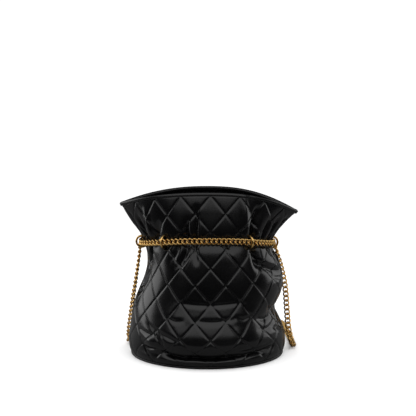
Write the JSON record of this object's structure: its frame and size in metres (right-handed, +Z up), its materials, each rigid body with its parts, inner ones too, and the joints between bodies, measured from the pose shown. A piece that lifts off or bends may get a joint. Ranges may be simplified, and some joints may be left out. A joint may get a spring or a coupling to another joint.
{
  "type": "quilted bucket bag",
  "caption": "Quilted leather bucket bag with an oval base, a neck gathered by a curb chain running through rings, a flared mouth and a chain shoulder strap.",
  "frame": {"origin": "on the surface the bag stands on, under the middle of the base", "axes": "+Z up, +X to the right seen from the front, the front faces -Y"},
  "size_m": [0.2151, 0.2616, 0.1969],
  "materials": {
    "leather": "soft black lambskin, quilted, satin",
    "smooth_leather": "smooth black leather, satin",
    "wadding": "soft polyester wadding",
    "lining": "black fine twill",
    "board": "stiff grey-brown fibre board",
    "gold": "antique gold plating, satin"
  },
  "bodies": {
    "bag": {"panel_front": "leather", "panel_back": "leather", "wadding_front": "wadding", "wadding_back": "wadding", "facing_front": "smooth_leather", "facing_back": "smooth_leather", "rim_binding": "smooth_leather", "base_welt": "smooth_leather", "base_panel": "leather", "base_board": "board", "lining_base": "lining", "lining_front": "lining", "lining_back": "lining", "zip_tape_upper": "lining", "zip_tape_lower": "lining", "zip_teeth_upper": "gold", "zip_teeth_lower": "gold", "zip_stop_left": "gold", "zip_stop_right": "gold", "zip_frame": "smooth_leather", "zip_pocket_bag": "lining", "slip_pocket": "lining", "slip_pocket_binding": "smooth_leather", "tab_right": "leather", "tab_back_right": "leather", "tab_back_left": "leather", "tab_left": "leather", "tab_front_left": "leather", "tab_front_right": "leather", "neck_chain_front": "gold", "neck_chain_back": "gold", "strap_chain": "gold"},
    "ring_right": {"ring_right": "gold"},
    "ring_back_right": {"ring_back_right": "gold"},
    "ring_back_left": {"ring_back_left": "gold"},
    "ring_left": {"ring_left": "gold"},
    "ring_front_left": {"ring_front_left": "gold"},
    "ring_front_right": {"ring_front_right": "gold"},
    "slider": {"zip_slider": "gold"},
    "puller": {"zip_puller": "gold"}
  },
  "joints": [
    {"name": "ring_right_swing", "type": "hinge", "parent": "bag", "child": "ring_right", "pos_m": [0.0713, 0, 0.13347], "axis": [0, 0, 1], "range_deg": [-6, 6]},
    {"name": "ring_back_right_swing", "type": "hinge", "parent": "bag", "child": "ring_back_right", "pos_m": [0.04542, 0.03948, 0.1397], "axis": [0, 0, 1], "range_deg": [-12, 12]},
    {"name": "ring_back_left_swing", "type": "hinge", "parent": "bag", "child": "ring_back_left", "pos_m": [-0.04542, 0.03948, 0.13997], "axis": [0, 0, 1], "range_deg": [-12, 12]},
    {"name": "ring_left_swing", "type": "hinge", "parent": "bag", "child": "ring_left", "pos_m": [-0.0713, 0, 0.13453], "axis": [0, 0, 1], "range_deg": [-6, 6]},
    {"name": "ring_front_left_swing", "type": "hinge", "parent": "bag", "child": "ring_front_left", "pos_m": [-0.04542, -0.03948, 0.13997], "axis": [0, 0, 1], "range_deg": [-12, 12]},
    {"name": "ring_front_right_swing", "type": "hinge", "parent": "bag", "child": "ring_front_right", "pos_m": [0.04542, -0.03948, 0.1397], "axis": [0, 0, 1], "range_deg": [-12, 12]},
    {"name": "zip_slide", "type": "hinge", "parent": "bag", "child": "slider", "pos_m": [0, -0.03305, 0.084], "axis": [0, 0, 1], "range_deg": [-59, 0]},
    {"name": "puller_swing", "type": "hinge", "parent": "slider", "child": "puller", "pos_m": [-0.04211, 0.04063, 0.084], "axis": [0, 0, 1], "range_deg": [-140, 0]}
  ]
}
